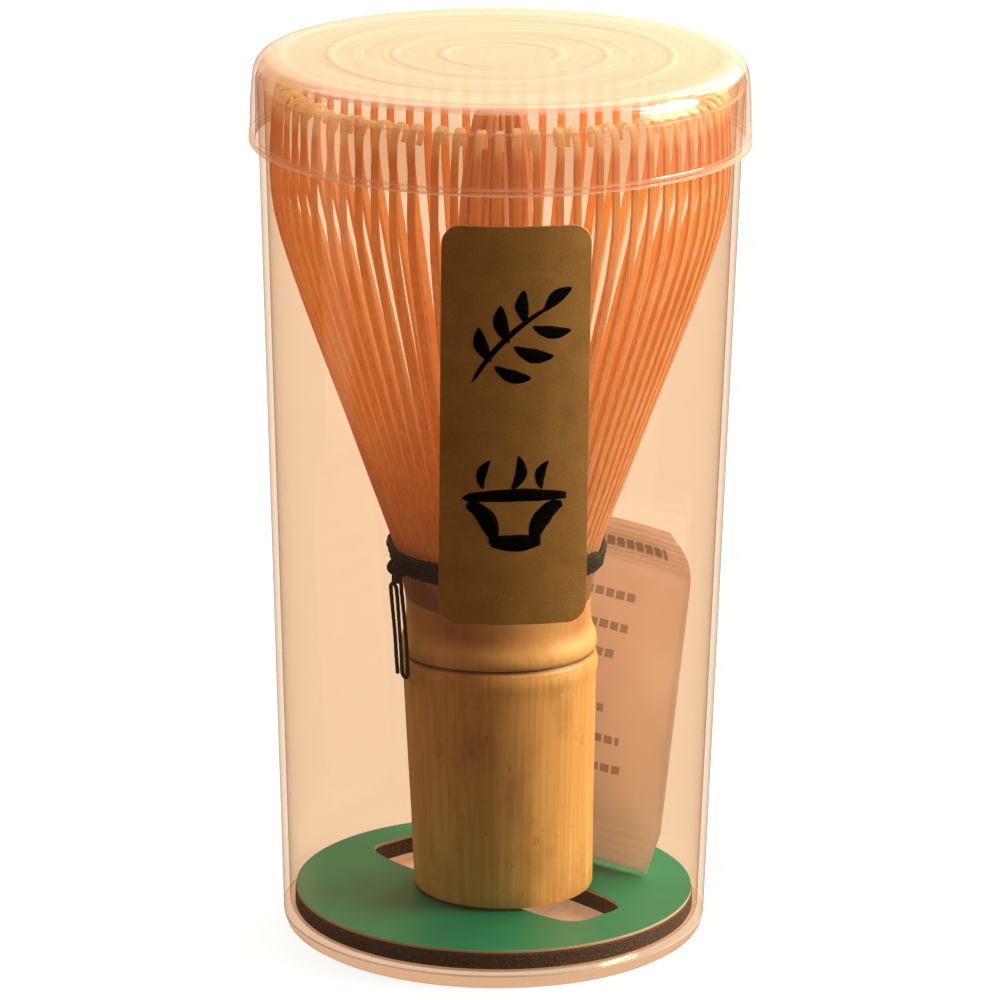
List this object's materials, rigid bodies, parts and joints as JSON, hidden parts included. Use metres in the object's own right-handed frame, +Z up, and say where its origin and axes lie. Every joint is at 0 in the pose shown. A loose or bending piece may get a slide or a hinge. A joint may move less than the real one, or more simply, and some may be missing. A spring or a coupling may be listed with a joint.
{
  "type": "bamboo tea whisk in clear case",
  "caption": "Bamboo matcha whisk with splayed tines and thread-bound waist, standing on a card-faced pad in a tapered clear case with a push-on lid.",
  "frame": {"origin": "centre of the case's foot ring, on the plane it stands on", "axes": "+Z up along the case's axis; -Y is the front, where the label is; +X is the whisk's right seen from the front"},
  "size_m": [0.0652, 0.0652, 0.1185],
  "materials": {
    "clear_plastic": "clear moulded styrene, gloss",
    "gold_label": "satin gold printed paper",
    "black_foam": "matt closed-cell foam",
    "green_card": "printed card, satin",
    "sachet_paper": "crimped sachet paper",
    "bamboo_skin": "dried bamboo skin, satin",
    "split_bamboo": "split and shaved bamboo",
    "inner_bamboo": "split bamboo, inner wood",
    "black_thread": "black cotton thread"
  },
  "bodies": {
    "case": {"case_tube": "clear_plastic", "front_label": "gold_label", "base_foam_disc": "black_foam", "base_card_face": "green_card"},
    "sachet": {"desiccant_sachet": "sachet_paper"},
    "whisk": {"whisk_handle": "bamboo_skin", "outer_tines": "split_bamboo", "inner_tines": "inner_bamboo", "thread_winding": "black_thread", "thread_knot": "black_thread", "thread_tail": "black_thread"},
    "lid": {"case_lid": "clear_plastic"}
  },
  "joints": [
    {"name": "sachet_lift", "type": "slide", "parent": "case", "child": "sachet", "axis": [0, 0, 1], "range_m": [0, 0.12]},
    {"name": "whisk_lift", "type": "slide", "parent": "sachet", "child": "whisk", "axis": [0, 0, 1], "range_m": [0, 0.125]},
    {"name": "lid_lift", "type": "slide", "parent": "whisk", "child": "lid", "axis": [0, 0, 1], "range_m": [0, 0.04]}
  ]
}
